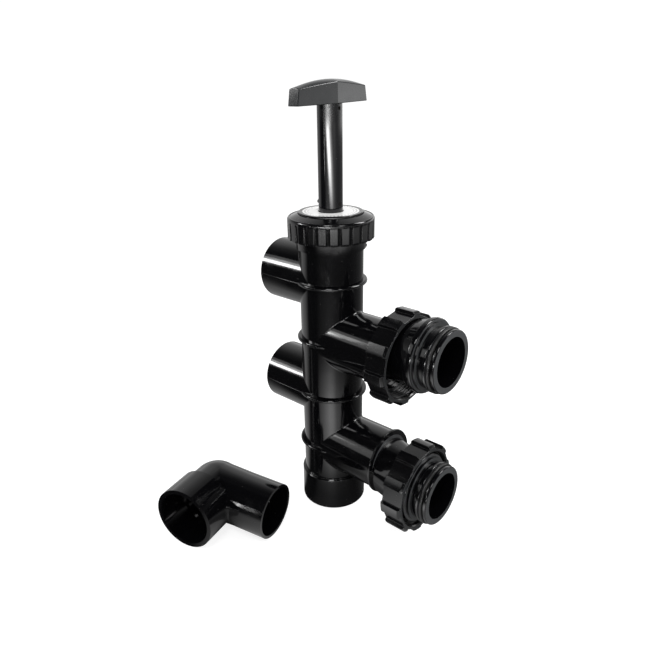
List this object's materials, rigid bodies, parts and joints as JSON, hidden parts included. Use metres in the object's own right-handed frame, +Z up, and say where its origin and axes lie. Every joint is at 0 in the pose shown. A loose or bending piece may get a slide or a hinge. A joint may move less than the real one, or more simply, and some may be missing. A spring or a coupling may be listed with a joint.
{
  "type": "multiport valve",
  "caption": "Push-pull backwash valve: upright barrel with side ports, T-handled shaft, ribbed lock ring, two filter unions with loose nuts and a separate street elbow.",
  "frame": {"origin": "centre of the waste port's bottom face, where the valve stands", "axes": "+Z up along the barrel to the handle, +X along the two filter unions, -X along the return and pump stubs"},
  "size_m": [0.2509, 0.2349, 0.4646],
  "materials": {
    "black_abs": "glossy injection-moulded",
    "handle_plastic": "satin, lightly textured",
    "shaft_plastic": "satin extruded tube",
    "piston_plastic": "natural moulded",
    "label": "smooth white plate",
    "o_ring": "greased black rubber",
    "stainless": "turned stainless"
  },
  "bodies": {
    "housing": {"valve_body": "black_abs", "waste_collar": "black_abs", "cap": "black_abs", "cap_seal": "o_ring", "label_plate": "label", "shaft_seals": "o_ring", "upper_tailpiece": "black_abs", "upper_tail_ring": "o_ring", "lower_tailpiece": "black_abs", "lower_tail_ring": "o_ring"},
    "lock_ring": {"lock_ring": "black_abs"},
    "pistons": {"upper_piston": "piston_plastic", "upper_piston_rings": "o_ring", "lower_piston": "piston_plastic", "lower_piston_rings": "o_ring", "piston_spacer": "piston_plastic"},
    "plunger": {"shaft": "shaft_plastic", "handle": "handle_plastic", "handle_pin": "stainless", "lock_pin": "stainless", "retaining_clip": "stainless", "shaft_end_plug": "shaft_plastic", "end_washer": "stainless", "end_screw": "stainless"},
    "upper_nut": {"upper_nut": "black_abs"},
    "lower_nut": {"lower_nut": "black_abs"},
    "elbow": {"street_elbow": "black_abs"}
  },
  "joints": [
    {"name": "plunger_slide", "type": "slide", "parent": "housing", "child": "pistons", "axis": [0, 0, 1], "range_m": [-0.0638, 0]},
    {"name": "handle_twist", "type": "hinge", "parent": "pistons", "child": "plunger", "pos_m": [0, 0, 0.4], "axis": [0, 0, 1], "range_deg": [0, 90]},
    {"name": "lock_ring_turn", "type": "hinge", "parent": "housing", "child": "lock_ring", "pos_m": [0, 0, 0.325], "axis": [0, 0, 1], "range_deg": [0, 990]},
    {"name": "upper_nut_turn", "type": "hinge", "parent": "housing", "child": "upper_nut", "pos_m": [0.0923, 0, 0.20666], "axis": [1, 0, 0], "continuous": true},
    {"name": "lower_nut_turn", "type": "hinge", "parent": "housing", "child": "lower_nut", "pos_m": [0.1165, 0, 0.0635], "axis": [1, 0, 0], "continuous": true},
    {"name": "elbow_lift", "type": "slide", "parent": "housing", "child": "elbow", "axis": [0, 0, 1], "range_m": [0, 0.15]}
  ]
}
